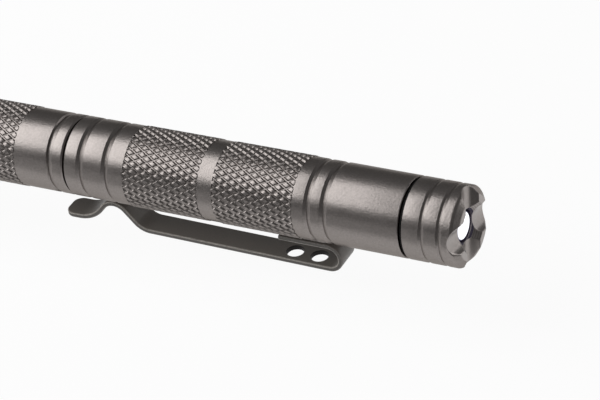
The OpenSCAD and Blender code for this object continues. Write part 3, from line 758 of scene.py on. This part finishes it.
def spring(name, x0, x1, r, curls, wire):
    """A round-wire compression spring."""
    low, high = x0 + wire / 2, x1 - wire / 2
    count = int(curls * COIL_STEPS)
    path = []
    for i in range(count + 1):
        t = i / count
        a = 2 * math.pi * i / COIL_STEPS
        path.append(Vector((low + (high - low) * t, r * math.cos(a), r * math.sin(a))))
    rings = []
    for i, p in enumerate(path):
        tangent = (path[min(i + 1, count)] - path[max(i - 1, 0)]).normalized()
        out = Vector((0, p.y, p.z)).normalized()
        up = tangent.cross(out).normalized()
        out = up.cross(tangent).normalized()
        ring = []
        for k in range(WIRE_SIDES):
            a = 2 * math.pi * k / WIRE_SIDES
            ring.append(tuple(p + (out * math.cos(a) + up * math.sin(a)) * wire / 2))
        rings.append(ring)
    shell = Shell()
    shell.closed_rings(rings)
    return finish_mesh(name, shell, sharp=60.0, weld=1e-6)


# Materials: every one is built from nodes, with its grain in object space. Noise is read between the ends
# of NOISE_SPAN, and the noise in the roughness is BROAD_TIMES as wide as the grain.
NOISE_SPAN = (0.3, 0.7)
BROAD_TIMES = 14.0


def node_material(name):
    """A new material with its node tree and its shader."""
    mat = bpy.data.materials.new(name)
    mat.use_nodes = True
    tree = mat.node_tree
    shader = tree.nodes["Principled BSDF"]
    return mat, tree, shader


def object_coords(tree, location=(0.0, 0.0, 0.0), scale=(1.0, 1.0, 1.0)):
    """Coordinates in the object's space, moved and scaled."""
    coords = tree.nodes.new("ShaderNodeTexCoord")
    mapping = tree.nodes.new("ShaderNodeMapping")
    mapping.inputs["Location"].default_value = location
    mapping.inputs["Scale"].default_value = scale
    tree.links.new(coords.outputs["Object"], mapping.inputs["Vector"])
    return mapping.outputs["Vector"]


def noise(tree, scale, detail, rough=0.5, stretch=(1.0, 1.0, 1.0)):
    """Even noise in the object's space, drawn out where stretch is below 1."""
    tex = tree.nodes.new("ShaderNodeTexNoise")
    tex.inputs["Scale"].default_value = scale
    tex.inputs["Detail"].default_value = detail
    tex.inputs["Roughness"].default_value = rough
    tree.links.new(object_coords(tree, scale=stretch), tex.inputs["Vector"])
    return tex.outputs["Fac"]


def ramp(tree, value, low, high, ends=NOISE_SPAN):
    """A colour between two, by a value."""
    node = tree.nodes.new("ShaderNodeValToRGB")
    for element, position, color in zip(node.color_ramp.elements, ends, (low, high)):
        element.position = position
        element.color = (*color, 1.0)
    tree.links.new(value, node.inputs["Fac"])
    return node.outputs["Color"]


def span(tree, value, low, high):
    """A number between two, by noise."""
    node = tree.nodes.new("ShaderNodeMapRange")
    node.inputs["From Min"].default_value = NOISE_SPAN[0]
    node.inputs["From Max"].default_value = NOISE_SPAN[1]
    node.inputs["To Min"].default_value = low
    node.inputs["To Max"].default_value = high
    tree.links.new(value, node.inputs["Value"])
    return node.outputs["Result"]


def bump(tree, shader, value, strength, depth):
    """Relief of a depth in metres."""
    node = tree.nodes.new("ShaderNodeBump")
    node.inputs["Strength"].default_value = strength
    node.inputs["Distance"].default_value = depth
    tree.links.new(value, node.inputs["Height"])
    tree.links.new(node.outputs["Normal"], shader.inputs["Normal"])


def scaled(color, k):
    """A colour times a factor."""
    return tuple(min(1.0, c * k) for c in color)


def surface(name, color, rough, grain, depth, strength, metallic=0.0, vary=0.06, spread=0.05,
            stretch=(1.0, 1.0, 1.0), tint=None, specular=0.5):
    """A finish with fine grain in its colour, roughness and relief."""
    mat, tree, shader = node_material(name)
    fine = noise(tree, grain, detail=2.0, rough=0.55, stretch=stretch)
    base = ramp(tree, fine, scaled(color, 1 - vary), scaled(color, 1 + vary))
    tree.links.new(base, shader.inputs["Base Color"])
    broad = noise(tree, grain / BROAD_TIMES, detail=3.0, stretch=stretch)
    tree.links.new(span(tree, broad, rough - spread, rough + spread), shader.inputs["Roughness"])
    shader.inputs["Metallic"].default_value = metallic
    shader.inputs["Specular IOR Level"].default_value = specular
    if tint:
        shader.inputs["Specular Tint"].default_value = (*tint, 1.0)
    bump(tree, shader, fine, strength, depth)
    return mat


def metal(name, color, rough, grain, depth, strength, **more):
    """A bare metal finish."""
    return surface(name, color, rough, grain, depth, strength, metallic=1.0, **more)


LATHE_SCALE = 1150.0
LATHE_WANDER = 0.6
LATHE_TONES = (0.82, 1.12)
LATHE_GRAIN = 380.0
LATHE_SPREAD = 0.04
LATHE_STRENGTH = 0.35
LATHE_DEPTH = 1e-5


def turned_material(name, color, rough):
    """Metal with the fine rings that a lathe leaves about the pen's axis."""
    mat, tree, shader = node_material(name)
    wave = tree.nodes.new("ShaderNodeTexWave")
    wave.wave_type = "RINGS"
    wave.rings_direction = "X"
    wave.inputs["Scale"].default_value = LATHE_SCALE
    wave.inputs["Distortion"].default_value = LATHE_WANDER
    tree.links.new(object_coords(tree, (0.0, 0.0, -AXIS_Z * MM)), wave.inputs["Vector"])
    low, high = (scaled(color, tone) for tone in LATHE_TONES)
    tree.links.new(ramp(tree, wave.outputs["Fac"], low, high), shader.inputs["Base Color"])
    broad = noise(tree, LATHE_GRAIN, detail=3.0)
    spread = span(tree, broad, rough - LATHE_SPREAD, rough + LATHE_SPREAD)
    tree.links.new(spread, shader.inputs["Roughness"])
    shader.inputs["Metallic"].default_value = 1.0
    bump(tree, shader, wave.outputs["Fac"], LATHE_STRENGTH, LATHE_DEPTH)
    return mat


LED_WHITE = (0.96, 0.97, 1.0)
LED_VIOLET = (0.012, 0.009, 0.03)
LED_RESIN = ((0.09, 0.08, 0.14), (0.12, 0.11, 0.17))
LED_CLOUD = 900.0
LED_ROUGH = 0.12
LED_GLOW = 1.4


def led_material():
    """A lit LED: its core is white and its rim falls to violet with the distance from the pen's axis."""
    mat, tree, shader = node_material("led_epoxy_lit")
    shader.inputs["Roughness"].default_value = LED_ROUGH
    radius = tree.nodes.new("ShaderNodeVectorMath")
    radius.operation = "LENGTH"
    across = object_coords(tree, (0.0, 0.0, -AXIS_Z * MM), (0.0, 1.0, 1.0))
    tree.links.new(across, radius.inputs[0])
    core = tree.nodes.new("ShaderNodeMapRange")
    core.inputs["From Min"].default_value = LED_CORE_R * MM
    core.inputs["From Max"].default_value = LED_RIM_R * MM
    tree.links.new(radius.outputs["Value"], core.inputs["Value"])
    glow = ramp(tree, core.outputs["Result"], LED_WHITE, LED_VIOLET, (0.0, 1.0))
    tree.links.new(glow, shader.inputs["Emission Color"])
    shader.inputs["Emission Strength"].default_value = LED_GLOW
    cloud = noise(tree, LED_CLOUD, detail=1.0)
    tree.links.new(ramp(tree, cloud, *LED_RESIN), shader.inputs["Base Color"])
    return mat


# Finishes by material slot: colour, roughness, scale of the grain, depth and strength of its relief
ANODISED = (0.26, 0.237, 0.226)
EDGE_TINT = (0.6, 0.58, 0.56)
finishes = {
    "anodised": metal(
        "anodised_gunmetal", ANODISED, 0.34, 3000.0, 2.4e-5, 1.0, vary=0.09, spread=0.03, tint=EDGE_TINT),
    "clip_steel": surface(
        "clip_dark_coat", (0.165, 0.149, 0.134), 0.42, 4200.0, 6e-6, 0.3, spread=0.04, specular=0.6),
    "screw_steel": metal("screw_steel", (0.3, 0.3, 0.31), 0.3, 3500.0, 4e-6, 0.2),
    "spring_steel": metal("spring_wire", (0.6, 0.6, 0.62), 0.22, 3000.0, 3e-6, 0.2),
    "cell_steel": metal("cell_plating", (0.72, 0.72, 0.73), 0.2, 2500.0, 3e-6, 0.2),
    "insulation": surface("insulation_plastic", (0.78, 0.75, 0.68), 0.5, 2500.0, 8e-6, 0.3),
    "seal_rubber": surface(
        "seal_rubber", (0.012, 0.012, 0.012), 0.62, 3500.0, 1e-5, 0.4, vary=0.2, specular=0.12),
    "led_epoxy": led_material(),
    "board": surface("board_mask", (0.02, 0.14, 0.06), 0.35, 2500.0, 6e-6, 0.3, vary=0.12),
    "brass": metal(
        "turned_brass", (0.72, 0.53, 0.22), 0.26, 2200.0, 4e-6, 0.25, stretch=(6.0, 1.0, 1.0)),
    "refill_steel": metal(
        "drawn_steel", (0.62, 0.62, 0.64), 0.28, 2200.0, 3e-6, 0.2, stretch=(0.08, 1.0, 1.0)),
    "carbide": metal(
        "ground_carbide", (0.22, 0.22, 0.23), 0.25, 3000.0, 4e-6, 0.25, stretch=(5.0, 1.0, 1.0)),
}

# Further finishes of the dressed pieces, in the order of their slots after the first: knurl cuts painted
# darker as shade, turned rings, milled faces painted lighter as a highlight, the hole painted dark and
# violet as shade and LED light; then clip edges painted lighter as a highlight, driver holes and flat sides
# painted darker as shade
further = {
    "anodised": (
        # The knurl's cut faces, darker than the barrel: painted shade in the cuts
        metal(
            "anodised_cut_painted_shade", scaled(ANODISED, 0.85), 0.33, 3600.0, 1.4e-5, 0.5,
            vary=0.09, spread=0.03, tint=EDGE_TINT),
        turned_material("anodised_turned", ANODISED, 0.36),
        # The crown's milled notches and rim flat, lighter than the barrel: painted highlight
        metal("anodised_milled_painted_highlight", scaled(ANODISED, 1.2), 0.3, 2600.0, 1.2e-5, 0.4, spread=0.03),
        # The lamp hole's wall and lip, dark and violet: painted shade, with the LED's violet light painted
        # in
        surface(
            "hole_dark", (0.07, 0.062, 0.09), 0.6, 2600.0, 8e-6, 0.3, vary=0.1, spread=0.04, specular=0.15),
    ),
    "clip_steel": (
        # Rounded edges along the clip arm's inner face, lighter than the coat: painted highlight
        surface("clip_edge_painted_highlight", (0.34, 0.315, 0.285), 0.4, 2200.0, 8e-6, 0.3, vary=0.25),
        # Walls of the driver holes, near black: painted shade inside the holes
        surface("clip_hole_painted_shade", (0.014, 0.011, 0.011), 0.6, 3000.0, 8e-6, 0.3, vary=0.1, specular=0.2),
        # The strip's flat sides, darker than the coat: painted shade
        surface("clip_side_painted_shade", (0.085, 0.077, 0.069), 0.45, 3000.0, 8e-6, 0.3, vary=0.1),
    ),
}

for row in frame["record"]["subparts"]:
    cad = frame["nodes"][row["node"]]
    cad.data.materials.clear()
    cad.data.materials.append(finishes[row["material_slot"]])


def dress(piece, slot, body, *nodes):
    """Gives a piece its finishes and its body, in place of the nodes that it shows."""
    piece.data.materials.append(finishes[slot])
    for finish in further.get(slot, ()):
        piece.data.materials.append(finish)
    if body:
        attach(piece, body)
    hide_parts(*nodes)
    return piece


dress(lamp_barrel(), "anodised", "cap", "lamp_barrel")
dress(pen_barrel(), "anodised", "pen", "pen_barrel")
dress(lamp_head(), "anodised", "head", "lamp_head")
dress(led_lens(), "led_epoxy", "head", "led_lamp")
dress(spring("cell_coil", *CELL_SPRING), "spring_steel", "cap", "cell_spring")
dress(spring("refill_coil", *REFILL_SPRING), "spring_steel", "pen", "refill_spring")
clip = dress(pocket_clip(), "clip_steel", None, "clip_foot", "clip_arm")
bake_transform(clip)

# Stage, in metres: a white floor that keeps a soft shadow, a dim room, an overhead softbox, a small one
# for the crown and two cards for reflections. The floor lies 5 mm below the clip's back.
# A card's numbers are its edges: x from and to, y from and to.
FLOOR_Z = -0.005
FLOOR_HALF = 4.0
FLOOR_CELLS = 8
FLOOR_TONE = 0.9
FLOOR_WHITE = 0.94
ROOM_TONE = 0.17
OVERHEAD_X = -1.28
OVERHEAD_ANGLE = 112.5
OVERHEAD_REACH = 0.6
OVERHEAD_SIZE = (2.23, 0.83)
OVERHEAD_POWER = 17.5
CROWN_LIGHT = (0.295, 0.196, 0.076)
CROWN_LIGHT_AIM = (0.077, 0, 0.014)
CROWN_LIGHT_SIZE = (0.14, 0.1)
CROWN_LIGHT_POWER = 0.08
CARD_FRONT = (-0.6, 0.08, -0.6, -0.024)
CARD_FRONT_TONE = 0.7
# The right card stands in, in reflections, for the part's shadow on the floor: a painted shadow
CARD_RIGHT = (0.088, 0.6, -0.6, 0.004)
CARD_RIGHT_TONE = 0.22
CAMERA_LENS = 179.53
CAMERA_SENSOR = 36.0
CAMERA_PLACE = (0.248513, -0.3214768, 0.2724343)
CAMERA_RIGHT = (0.8851, 0.4477, -0.1275)
CAMERA_UP = (-0.1652, 0.5581, 0.8132)
CAMERA_BACK = (0.4352, -0.6986, 0.5679)


def floor_material():
    """White where the camera or a reflection sees it, with a share of matte that takes the shadow."""
    mat = bpy.data.materials.new("floor_white")
    mat.use_nodes = True
    tree = mat.node_tree
    tree.nodes.clear()
    matte = tree.nodes.new("ShaderNodeBsdfDiffuse")
    matte.inputs["Color"].default_value = (FLOOR_TONE, FLOOR_TONE, FLOOR_TONE, 1.0)
    white = tree.nodes.new("ShaderNodeEmission")
    white.inputs["Strength"].default_value = 1.0
    path = tree.nodes.new("ShaderNodeLightPath")
    seen = path.outputs["Is Camera Ray"]
    for ray in ("Is Glossy Ray", "Is Transmission Ray"):
        either = tree.nodes.new("ShaderNodeMath")
        either.operation = "MAXIMUM"
        tree.links.new(seen, either.inputs[0])
        tree.links.new(path.outputs[ray], either.inputs[1])
        seen = either.outputs[0]
    share = tree.nodes.new("ShaderNodeMath")
    share.operation = "MULTIPLY"
    share.inputs[1].default_value = FLOOR_WHITE
    tree.links.new(seen, share.inputs[0])
    mix = tree.nodes.new("ShaderNodeMixShader")
    tree.links.new(share.outputs[0], mix.inputs["Fac"])
    tree.links.new(matte.outputs[0], mix.inputs[1])
    tree.links.new(white.outputs[0], mix.inputs[2])
    out = tree.nodes.new("ShaderNodeOutputMaterial")
    tree.links.new(mix.outputs[0], out.inputs["Surface"])
    return mat


def stage_floor():
    """The floor under the part."""
    bm = bmesh.new()
    bmesh.ops.create_grid(bm, x_segments=FLOOR_CELLS, y_segments=FLOOR_CELLS, size=FLOOR_HALF)
    mesh = bpy.data.meshes.new("floor")
    bm.to_mesh(mesh)
    bm.free()
    mesh.materials.append(floor_material())
    floor = bpy.data.objects.new("floor", mesh)
    bpy.context.scene.collection.objects.link(floor)
    floor.location = (0, 0, FLOOR_Z)


def dim_room():
    """An even grey world."""
    world = bpy.data.worlds.new("room")
    bpy.context.scene.world = world
    world.use_nodes = True
    background = world.node_tree.nodes["Background"]
    background.inputs["Color"].default_value = (ROOM_TONE, ROOM_TONE, ROOM_TONE, 1.0)
    background.inputs["Strength"].default_value = 1.0


def facing(position, right, up, back):
    """The matrix of a lamp or camera at a place, by the directions of its axes."""
    return Matrix.Translation(position) @ Matrix((right, up, back)).transposed().to_4x4()


def softbox(name, centre, target, size, power):
    """A rectangular lamp that faces a target and isn't seen by the camera."""
    lamp = bpy.data.lights.new(name, "AREA")
    lamp.shape = "RECTANGLE"
    lamp.size, lamp.size_y = size
    lamp.energy = power
    obj = bpy.data.objects.new(name, lamp)
    obj.visible_camera = False
    bpy.context.scene.collection.objects.link(obj)
    back = (Vector(centre) - Vector(target)).normalized()
    up = back.cross(Vector((1, 0, 0))).normalized()
    side = up.cross(back).normalized()
    obj.matrix_world = facing(centre, side, up, back)


def reflected_card(name, finish, tone, x0, x1, y0, y1):
    """A grey card lying beside the part, seen only in its reflections."""
    mesh = bpy.data.meshes.new(name)
    mesh.from_pydata([(x0, y0, 0), (x1, y0, 0), (x1, y1, 0), (x0, y1, 0)], [], [(0, 1, 2, 3)])
    mesh.materials.append(surface(
        finish, (tone, tone, tone), 0.8, 300.0, 1e-4, 0.2, vary=0.1, specular=0.1))
    card = bpy.data.objects.new(name, mesh)
    bpy.context.scene.collection.objects.link(card)
    card.visible_camera = False
    card.visible_shadow = False
    card.visible_diffuse = False


def photo_camera():
    """The camera at the photo's angle."""
    data = bpy.data.cameras.new("camera")
    data.lens = CAMERA_LENS
    data.sensor_width = CAMERA_SENSOR
    data.clip_start, data.clip_end = 0.01, 50.0
    camera = bpy.data.objects.new("camera", data)
    bpy.context.scene.collection.objects.link(camera)
    camera.matrix_world = facing(CAMERA_PLACE, CAMERA_RIGHT, CAMERA_UP, CAMERA_BACK)
    bpy.context.scene.camera = camera


stage_floor()
dim_room()
reflected_card("card_front", "card_grey", CARD_FRONT_TONE, *CARD_FRONT)
# A dark card right of the crown, seen in reflections in place of the part's shadow on the floor there: a
# painted shadow
reflected_card("card_right", "card_painted_shadow", CARD_RIGHT_TONE, *CARD_RIGHT)
angle = math.radians(OVERHEAD_ANGLE)
axis = (OVERHEAD_X, 0, AXIS_Z * MM)
above = (OVERHEAD_X, OVERHEAD_REACH * math.cos(angle), AXIS_Z * MM + OVERHEAD_REACH * math.sin(angle))
softbox("overhead", above, axis, OVERHEAD_SIZE, OVERHEAD_POWER)
softbox("back_right", CROWN_LIGHT, CROWN_LIGHT_AIM, CROWN_LIGHT_SIZE, CROWN_LIGHT_POWER)
photo_camera()
bpy.context.scene.view_settings.view_transform = "Standard"
